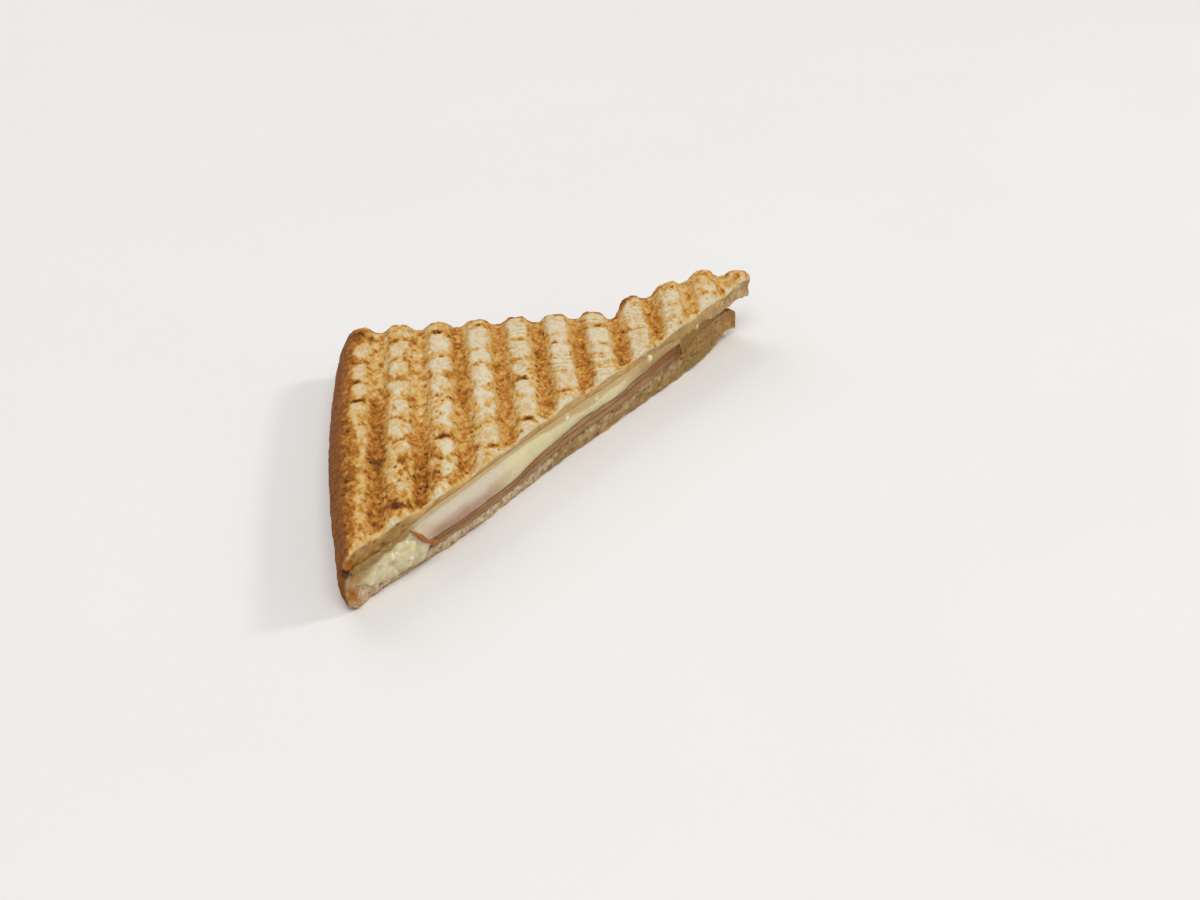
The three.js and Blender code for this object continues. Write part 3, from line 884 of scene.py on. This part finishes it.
def cheese_form():
    """Melted cheese between the slices, swelling out of the cut and sagging over the ham."""
    start = CHEESE_FROM - 2.4
    starts = start + np.array([0, 0.1, 0.3, 0.6])
    a = np.concatenate([starts, np.arange(start + 1, CHEESE_TO - 0.3, 0.3), [CHEESE_TO]])
    column = a[:, None]
    flowing = fade(a, 19, 22)
    thinning = ramp(a, CHEESE_TO - 6, CHEESE_TO)
    setback = 0.7 * ramp(a, 86, 93) + 3.3 * thinning

    def roof(v):
        return upper_inside(column, v) - CLEAR + 0.9 * cut_rim(column, v)

    def floor(v):
        along = ramp(column, HAM_FROM - 3, HAM_FROM) * fade(column, HAM_TO - 0.5, HAM_TO + 0.4)
        over = ramp(v - back_edge(column), 5, 7.5)
        resting = lower_inside(column, v) + CLEAR + (ham_room(column) + CLEAR) * along * over
        return np.minimum(resting, roof(v) - FILM)

    def ceiling(v):
        return mix(roof(v), floor(v) + FILM, thinning[:, None])

    line = np.stack([a, 0 * a, 0 * a], 1)
    back = np.where(a < CHEESE_FROM, cut_edge(a) - 5, back_edge(a) + 6.5)
    front = cut_edge(a) + 0.3 - setback + 0.15 * noise(line, 7, 111)
    nose = (0.45 + hump(a, 27, 2.3, 16)) * (1 + 0.15 * noise(line, 6, 112)) * (1 - 0.7 * ramp(a, 85, 96))
    nose = nose * mix(0.2, 1, ramp(a, start, start + 6))
    v_top = spread(back, front, np.sin(np.linspace(0, 1, 16) * np.pi / 2))
    foot = cut_edge(a) + 0.1 - LOWER_SETBACK * ramp(a, LOWER_END_FROM, LOWER_END) - 0.3 * ramp(a, 86, 90)
    v_under = spread(foot, back, 1 - np.sin(np.linspace(1, 0, 20) * np.pi / 2))
    z_top, z_under = ceiling(v_top), floor(v_under)
    run = z_under[:, 0] - mix(6.5, 1.7, ramp(a, start, start + 8)) - 0.7 * noise(line, 2.5, 117)
    sag = 0.12 + 0.12 * noise(line, 3.0, 116) + np.maximum(0, run) * flowing
    sag = np.maximum(sag * (1 - thinning), 0.05)
    down = np.linspace(0, 1, 44)[1:]
    swell = ramp(down, -0.08, 0.5) * np.sqrt(1 - np.maximum(0, (down - 0.5) / 0.5) ** 2.5)
    v_cut = spread(v_top[:, -1], foot, down**1.5) + nose[:, None] * swell
    z_cut = spread(z_top[:, -1], z_under[:, 0] - sag, down)
    v_lip = spread(v_cut[:, -1], v_under[:, 0], [0.35, 0.7])
    z_lip = spread(z_cut[:, -1], z_under[:, 0], [0.15, 0.5])
    up = np.array([0.25, 0.5, 0.75])
    v_back = spread(v_under[:, -1], v_top[:, 0], up) - 0.5 * np.sin(np.pi * up)
    z_back = spread(z_under[:, -1], z_top[:, 0], up)
    v = np.concatenate([v_top, v_cut, v_lip, v_under, v_back], 1)
    z = np.concatenate([z_top, z_cut, z_lip, z_under, z_back], 1)
    opening = np.sqrt(1 - (1 - np.clip((column - start) / 3.2, 0.01, 1)) ** 2)
    return loft("cheese", a, v, mix(7.6, z, opening))


def cheese_mesh():
    """The cheese with its bubbles, drops and crumbs, its painted glints and its painted shade."""
    mesh = cheese_form()
    a, v, z = places(mesh)
    p = np.stack([a, v, z], 1)
    front = fade((cut_edge(a) - v) * SQUARE_TO_CUT, 0.2, 2.5)
    flow_edge = a + 0.45 * (z - 7) + 0.8 * noise(p, 3, 118)
    bubbly = fade(flow_edge, 17.5, 20.5) * front
    bubble = lumps(p * [1, 1, 0.75], 3.0, 113, power=0.5)
    small = lumps(p, 1.3, 119, 0.7, 0.0, 0.5)
    rim = ramp(z - upper_inside(a, v), -1.4, -0.2)
    height = bubbly * (1.1 * bubble + 0.2 * small - mix(0.5, 0.1, rim)) + front * 0.12 * noise(p, 4.5, 115)
    # Painted glints: near-white painted highlights on the drops that shine most.
    drops, glints = 0 * a, 0 * a
    for at, level, size, shine in DROPS:
        drop = spot(a, at, size, z, level, 1.4 * size)
        height += front * 1.1 * size * drop
        drops = most(drops, drop)
        glints = most(glints, shine * ramp(drop, 0.45, 0.85))
    move_out(mesh, height)

    depth = np.clip((upper_inside(a, v) + 0.6 - z) / 6, 0, 1)
    over_ham = (z - lower_inside(a, v) - ham_room(a) - 2 * CLEAR) / 4
    white = ramp(a + 0.3 * (z - 9) + noise(p, 3, 124), 16.5, 21.5) * fade(a + 1.5 * noise(p, 4, 124), 30, 44)
    thin = fade(over_ham + 0.1 * noise(p, 3, 125), 0.4, 1.45)
    thin = 0.85 * thin * ramp(a + 0.6 * (z - 8), 18, 23) * fade(a, 33, 44)
    stained = fade(over_ham + 0.15 * noise(p, 3, 125), 0.05, 0.5)
    thin = most(thin, 0.42 * stained * ramp(a, 36, 46) * fade(a, 74, 82))

    soaks_to = mix(0.05, 0.18, ramp(a, 47, 51)) + hump(a, 61, 0.09, 3)
    crumby = (1 - drops) * most(
        ramp(a + 2.5 * noise(p, 5, 121), 68, 77),
        fade(a + 1.5 * noise(p, 2.5, 122), 4, 7.5) * front,
        0.85 * fade(a, 17, 21) * fade(z + 1.2 * noise(p, 2, 123), 1.8, 5.5),
        0.85 * fade(depth + 0.03 * noise(p, 2.5, 128) - soaks_to, 0, 0.14) * ramp(a, 18, 22),
        0.9 * (1 - front),
    )
    ragged = mix(0.12, 0.05, ramp(a, 14, 18)) * noise(p, 2.5, 129)
    top = fade(depth + ragged, mix(0.12, 0.06, ramp(a, 15, 20)), mix(0.95, 0.22, ramp(a, 5.5, 12)))
    # Darker oily cheese, partly real oil and partly painted shade under the upper slice's crumb, beside the
    # ham's curl and deep in the gap at the pointed end.
    oily = (1 - drops) * most(
        ramp(a, 87.5, 89) * (0.85 + 0.15 * noise(p, 2.0, 126)),
        mix(0.95, 0.15, ramp(a, 15, 21)) * top * front * fade(a, 60, 70),
        hump(a, 16.5, 0.6, 2.2) * ramp(z, 10, 11.5) * front,
        0.6 * spot(a, 84, 5.5, z, 10.3, 1.3) * front,
        0.3 * (1 - front),
    )
    move_out(mesh, 0.4 * (lumps(p, 1.5, 127) - 0.3) * ramp(a, 88, 90) * front)
    # Painted shade: the soaked cheese darkens towards the pointed end.
    paint(
        mesh,
        wet=most(bubbly * (1 - oily), drops),
        glints=glints,
        white=white,
        thin=thin * front,
        bubbly=bubbly,
        oily=oily,
        crumby=crumby,
        dim=most(0.5 * ramp(a, 70, 80), ramp(a, 86.5, 89)),
    )
    return mesh


# ---- materials ----


class Shader:
    """A material's node tree, with short ways to add and join nodes."""

    def __init__(self, name):
        self.material = bpy.data.materials.new(name)
        self.material.use_nodes = True
        self.tree = self.material.node_tree
        self.tree.nodes.clear()
        self.surface = self.tree.nodes.new("ShaderNodeBsdfPrincipled")
        output = self.tree.nodes.new("ShaderNodeOutputMaterial")
        self.tree.links.new(self.surface.outputs[0], output.inputs["Surface"])
        metres = self.node("ShaderNodeTexCoord", "Object", {})
        self.place = self.node("ShaderNodeVectorMath", 0, {0: metres, "Scale": 1 / MM}, operation="SCALE")

    def put(self, target, value):
        """Joins an input to the output of a node, or sets it."""
        if hasattr(value, "is_linked"):
            self.tree.links.new(value, target)
        elif target.type == "RGBA":
            target.default_value = (*value, 1.0)
        else:
            target.default_value = value

    def node(self, kind, output, inputs, **settings):
        """Adds a node with those settings and inputs, and gives one of its outputs."""
        node = self.tree.nodes.new(kind)
        for key, value in settings.items():
            setattr(node, key, value)
        for key, value in inputs.items():
            self.put(node.inputs[key], value)
        return node.outputs[output]

    def give(self, name, value):
        """Sets or joins one input of the surface itself."""
        self.put(self.surface.inputs[name], value)

    def layer(self, name):
        return self.node("ShaderNodeAttribute", "Fac", {}, attribute_name=name)

    def math(self, operation, first, second=0.0, third=0.0, clamp=False):
        inputs = {0: first, 1: second, 2: third}
        return self.node("ShaderNodeMath", 0, inputs, operation=operation, use_clamp=clamp)

    def times(self, first, second, clamp=False):
        return self.math("MULTIPLY", first, second, clamp=clamp)

    def plus(self, first, second, share):
        """The first value and that share of the second."""
        return self.math("ADD", first, self.times(second, share))

    def vary(self, value, texture, middle, reach):
        """The value with a texture added from that middle of its own."""
        return self.math("MULTIPLY_ADD", self.math("SUBTRACT", texture, middle), reach, value)

    def stretch(self, x, y, z, turn=0.0):
        """The place, with everything drawn out by those factors along axes turned about Z."""
        inputs = {"Vector": self.place, "Rotation": (0, 0, turn), "Scale": (x, y, z)}
        return self.node("ShaderNodeMapping", 0, inputs, vector_type="TEXTURE")

    def noise(self, size, detail=3.0, rough=0.6, twist=0.0, place=None):
        inputs = {"Vector": place or self.place, "Scale": 1 / size}
        inputs |= {"Detail": detail, "Roughness": rough, "Distortion": twist}
        return self.node("ShaderNodeTexNoise", "Fac", inputs)

    def cells(self, size, place=None, output="Distance", feature="SMOOTH_F1"):
        """Distance from the middle of soft cells of that size."""
        inputs = {"Vector": place or self.place, "Scale": 1 / size}
        return self.node("ShaderNodeTexVoronoi", output, inputs, feature=feature)

    def grains(self, size, place=None):
        """A value of its own for each grain of that size."""
        return self.node("ShaderNodeSeparateColor", 0, {0: self.cells(size, place, "Color", "F1")})

    def fit(self, value, low, high, to_low=0.0, to_high=1.0):
        inputs = {0: value, 1: low, 2: high, 3: to_low, 4: to_high}
        return self.node("ShaderNodeMapRange", 0, inputs, interpolation_type="SMOOTHSTEP")

    def colours(self, value, stops):
        output = self.node("ShaderNodeValToRGB", "Color", {0: value})
        elements = output.node.color_ramp.elements
        for k, (at, shade) in enumerate(stops):
            element = elements[k] if k < 2 else elements.new(at)
            element.position = at
            element.color = (*shade, 1.0)
        return output

    def blend(self, share, first, second, how="MIX"):
        inputs = {"Factor": share, 6: first, 7: second}
        return self.node("ShaderNodeMix", 2, inputs, data_type="RGBA", blend_type=how)

    def bump(self, height, depth, strength, below=None):
        """Relief of that depth in millimetres."""
        inputs = {"Strength": strength, "Distance": depth * MM, "Height": height}
        if below:
            inputs["Normal"] = below
        return self.node("ShaderNodeBump", "Normal", inputs)


def tint(shade, factor):
    return tuple(min(1.0, c * factor) for c in shade)


def between(first, second, share):
    return tuple(mix(np.array(first), np.array(second), share))


def bread_material(name, bread):
    s = Shader(name)
    ribs = s.stretch(GRAIN_LENGTH, 1, 1, math.pi / 2 - TURN)
    toast = s.vary(s.layer("toast"), s.noise(1.3, 4, 0.65, place=ribs), 0.5, 0.21)
    toast = s.vary(toast, s.grains(0.6, ribs), 0.5, 0.18)
    toast = s.vary(toast, s.cells(0.62, ribs), 0.42, 0.2)
    skin = s.colours(
        toast,
        [
            (0.0, between(bread.cream, bread.crumb, 0.7)),
            (1.0, tuple(bread.dark)),
            (0.16, tuple(bread.cream)),
            (0.31, between(bread.cream, bread.golden, 0.7)),
            (0.42, tuple(bread.golden)),
            (0.54, between(bread.golden, bread.brown, 0.5)),
            (0.68, tuple(bread.brown)),
            (0.84, tint(bread.brown, 0.5)),
        ],
    )
    crust = s.colours(
        s.fit(s.plus(s.noise(1.6, 4, 0.7), s.noise(0.4, 2), 0.7), 0.55, 1.15),
        [(0.0, tint(bread.crust, 0.6)), (1.0, tint(bread.crust, 1.5)), (0.45, tuple(bread.crust))],
    )
    soak = s.layer("soak")
    crumb_grain = s.plus(s.noise(1.0, 4, 0.7), s.cells(0.7), -0.5)
    darkest, lightest = s.math("MULTIPLY_ADD", soak, 0.22, 0.58), s.math("MULTIPLY_ADD", soak, -0.15, 1.2)
    shade = s.colours(
        s.fit(crumb_grain, 0.05, 0.6, darkest, lightest),
        [(0.0, (0.1, 0, 0)), (1.0, (1, 1, 1)), (0.6, (0.7, 0.58, 0.44))],
    )
    crumb = s.blend(soak, bread.crumb, bread.soaked)
    # Painted shade: the crumb darkens towards its shade colour, with random tone.
    crumb = s.blend(s.layer("dim"), crumb, bread.dim_crumb)
    crumb = s.blend(s.layer("browned"), crumb, tint(bread.brown, 0.95))
    crumb = s.blend(1.0, crumb, shade, "MULTIPLY")
    crumb_share = s.layer("crumb")
    surface = s.blend(crumb_share, s.blend(s.layer("crust"), skin, crust), crumb)
    # Painted shade: pores, pits and cracks are darkened in the colour.
    shadowed = s.blend(1.0, surface, (0.4, 0.26, 0.16), "MULTIPLY")
    s.give("Base Color", s.blend(s.times(s.layer("hollow"), 0.75), surface, shadowed))
    greasy = s.times(soak, crumb_share)
    s.give("Roughness", s.plus(s.fit(toast, 0.1, 0.7, 0.62, 0.8), greasy, -0.3))
    s.give("Specular IOR Level", 0.15)
    grit = s.plus(s.noise(0.9, 4, 0.7, place=ribs), s.cells(0.8, ribs), -1.0)
    dry = s.math("SUBTRACT", 1.0, s.times(greasy, 0.75, clamp=True))
    s.give("Normal", s.bump(s.times(grit, dry), 0.4, 0.8))
    return s.material


def cheese_material(filling):
    s = Shader("melted_cheese")
    bubbly, crumby, oily = s.layer("bubbly"), s.layer("crumby"), s.layer("oily")
    melt = s.colours(
        s.noise(6.0, 3, 0.5, 0.4),
        [(0.25, tint(filling.cheese, 0.94)), (0.75, tint(filling.cheese, 1.05)), (0.5, tuple(filling.cheese))],
    )
    melt = s.blend(s.times(s.layer("white"), 0.8), melt, filling.cheese_white)
    melt = s.blend(s.layer("thin"), melt, filling.cheese_thin)
    # Painted shade: the soaked cheese darkens towards the pointed end.
    soaked = s.blend(s.layer("dim"), filling.cheese_soaked, filling.end_crumb)
    melt = s.blend(s.times(crumby, 0.95), melt, soaked)
    # Painted shade: the oily cheese darkens where it lies under the upper slice and at the pointed end.
    melt = s.blend(s.times(oily, 0.9), melt, filling.cheese_deep)
    curd = s.blend(
        s.fit(s.noise(1.1, 3, 0.6), 0.3, 0.65),
        between(filling.cheese, filling.cheese_deep, 0.28),
        between(filling.cheese, filling.cheese_white, 0.15),
    )
    covered = s.times(s.math("ADD", crumby, oily), -1.0)
    melt = s.blend(s.math("MULTIPLY_ADD", bubbly, 0.8, covered, clamp=True), melt, curd)
    # Painted highlight: the drops' glints are painted near-white into the colour.
    s.give("Base Color", s.blend(s.layer("glints"), melt, SHINE))
    glossy = s.fit(s.noise(3.0, 2), 0.3, 0.7, filling.gloss - 0.06, filling.gloss + 0.12)
    glossy = s.math("MULTIPLY_ADD", crumby, 0.3, glossy)
    s.give("Roughness", s.math("MULTIPLY_ADD", bubbly, -0.14, glossy))
    s.give("Subsurface Weight", 0.35)
    s.give("Subsurface Radius", (1.0, 0.65, 0.3))
    s.give("Subsurface Scale", 2.5 * MM)
    s.give("IOR", 1.45)
    s.give("Specular IOR Level", 0.35)
    s.give("Coat Weight", s.fit(s.layer("wet"), 0.0, 1.0, 0.1, 0.6))
    s.give("Coat Roughness", 0.09)
    relief = s.bump(s.noise(2.5, 3, 0.5), 0.35, 0.35)
    pits = s.times(s.noise(0.9, 3, 0.6), s.math("ADD", bubbly, crumby, clamp=True))
    s.give("Normal", s.bump(pits, 0.3, 0.35, relief))
    return s.material


def ham_material(filling):
    s = Shader("cooked_ham")
    streaks = s.noise(1.8, 4, 0.6, 0.5, s.stretch(4.5, 1.0, 0.5))
    meat = s.colours(
        s.fit(streaks, 0.3, 0.72),
        [(0.0, tint(filling.ham, 0.8)), (1.0, tuple(filling.ham_pale)), (0.5, tuple(filling.ham))],
    )
    # Painted shade in the crease between the ham's two leaves.
    crease = s.fit(s.math("ABSOLUTE", s.math("SUBTRACT", s.layer("leaf"), 0.5)), 0.0, 0.2, 1.0, 0.0)
    meat = s.blend(s.times(crease, 0.4), meat, tint(filling.ham_dark, 0.85))
    meat = s.blend(s.times(s.layer("browned"), 0.9), meat, filling.ham_dark)
    # Painted shade: the ham darkens towards its end.
    s.give("Base Color", s.blend(s.layer("dim"), meat, tint(filling.ham_dark, 0.4)))
    s.give("Roughness", s.fit(s.noise(1.2, 3), 0.3, 0.7, 0.32, 0.55))
    s.give("Specular IOR Level", 0.25)
    s.give("Subsurface Weight", 0.1)
    s.give("Subsurface Radius", (1.0, 0.35, 0.25))
    s.give("Subsurface Scale", 1.5 * MM)
    s.give("Normal", s.bump(s.noise(0.8, 4, 0.6), 0.2, 0.5))
    return s.material


def table_material(stage):
    s = Shader("pale_table")
    cloud = s.noise(90.0, 2, 0.5)
    s.give("Base Color", s.colours(cloud, [(0.3, tint(stage.table, 0.985)), (0.7, tuple(stage.table))]))
    s.give("Roughness", 0.8)
    return s.material


# ---- operators ----


class TOASTIE_OT_slices(bpy.types.Operator):
    """Make the two toasted slices of bread"""

    bl_idname = "toastie.slices"
    bl_label = "Toasted Slices"

    def execute(self, context):
        bread = context.scene.toastie.bread
        upper_look, lower_look = bread_material("toast_upper", bread), bread_material("toast_lower", bread)
        finish_piece("toasted_upper_slice", upper_slice_mesh(bread), upper_look, "bread_upper")
        finish_piece("toasted_lower_slice", lower_slice_mesh(bread), lower_look, "bread_lower")
        return {"FINISHED"}


class TOASTIE_OT_ham(bpy.types.Operator):
    """Make the folded slice of ham"""

    bl_idname = "toastie.ham"
    bl_label = "Folded Ham"

    def execute(self, context):
        finish_piece("folded_ham", ham_mesh(), ham_material(context.scene.toastie.filling), "ham")
        return {"FINISHED"}


class TOASTIE_OT_cheese(bpy.types.Operator):
    """Make the melted cheese"""

    bl_idname = "toastie.cheese"
    bl_label = "Melted Cheese"

    def execute(self, context):
        material = cheese_material(context.scene.toastie.filling)
        finish_piece("melted_cheese", cheese_mesh(), material, "cheese")
        return {"FINISHED"}


class TOASTIE_OT_stage(bpy.types.Operator):
    """Set the table, the soft lights and the camera"""

    bl_idname = "toastie.stage"
    bl_label = "Table, Lights and Camera"

    half_table = 3.0
    lamp_colour = (1.0, 0.98, 0.95)
    room_colour = (1.0, 0.99, 0.975, 1.0)

    def execute(self, context):
        scene, stage = context.scene, context.scene.toastie.stage
        low, high = -self.half_table, self.half_table
        corners = [(low, low, 0), (high, low, 0), (high, high, 0), (low, high, 0)]
        mesh = bpy.data.meshes.new("table_top")
        mesh.from_pydata(corners, [], [(0, 1, 2, 3)])
        mesh.materials.append(table_material(stage))
        table = add_object("table_top", mesh)
        self.light("key_light", (-0.55, -0.55, 1.45), 1.1, stage.key_power)
        self.light("side_light", (1.1, -0.75, 0.95), 0.24, stage.side_power)
        self.light("back_light", (0.5, 1.2, 1.0), 1.0, stage.back_power)
        world = bpy.data.worlds.new("room")
        world.use_nodes = True
        background = world.node_tree.nodes["Background"]
        background.inputs["Color"].default_value = self.room_colour
        background.inputs["Strength"].default_value = stage.room
        scene.world = world
        camera = add_object("camera", bpy.data.cameras.new("camera"))
        camera.data.lens = stage.lens
        camera.data.sensor_width = 36.0
        camera.data.clip_start = 0.01
        camera.location = stage.camera
        camera.rotation_euler = stage.aim
        scene.camera = camera
        scene.view_settings.view_transform = "Standard"
        return {"FINISHED"}

    def light(self, name, place, size, watts):
        """A square lamp that faces the part."""
        data = bpy.data.lights.new(name, "AREA")
        data.size, data.energy, data.color = size, watts, self.lamp_colour
        lamp = add_object(name, data)
        lamp.location = place
        lamp.rotation_euler = (-Vector(place)).to_track_quat("-Z", "Y").to_euler()


class TOASTIE_PT_panel(bpy.types.Panel):
    """Lists the steps that make the toastie"""

    bl_label = "Pressed Toastie"
    bl_idname = "TOASTIE_PT_panel"
    bl_space_type = "VIEW_3D"
    bl_region_type = "UI"
    bl_category = "Toastie"

    def draw(self, context):
        settings = context.scene.toastie
        for group, steps in (
            (settings.bread, ["toastie.slices"]),
            (settings.filling, ["toastie.ham", "toastie.cheese"]),
            (settings.stage, ["toastie.stage"]),
        ):
            box = self.layout.box()
            for step in steps:
                box.operator(step)
            for name in group.bl_rna.properties.keys():
                if name not in ("rna_type", "name"):
                    box.prop(group, name)


CLASSES = (
    ToastieBread,
    ToastieFilling,
    ToastieStage,
    ToastieSettings,
    TOASTIE_OT_slices,
    TOASTIE_OT_ham,
    TOASTIE_OT_cheese,
    TOASTIE_OT_stage,
    TOASTIE_PT_panel,
)


def register():
    for cls in CLASSES:
        bpy.utils.register_class(cls)
    bpy.types.Scene.toastie = PointerProperty(type=ToastieSettings)


def unregister():
    del bpy.types.Scene.toastie
    for cls in reversed(CLASSES):
        bpy.utils.unregister_class(cls)


def main():
    register()
    bpy.ops.toastie.stage()
    bpy.ops.toastie.slices()
    bpy.ops.toastie.ham()
    bpy.ops.toastie.cheese()


if __name__ == "__main__":
    main()
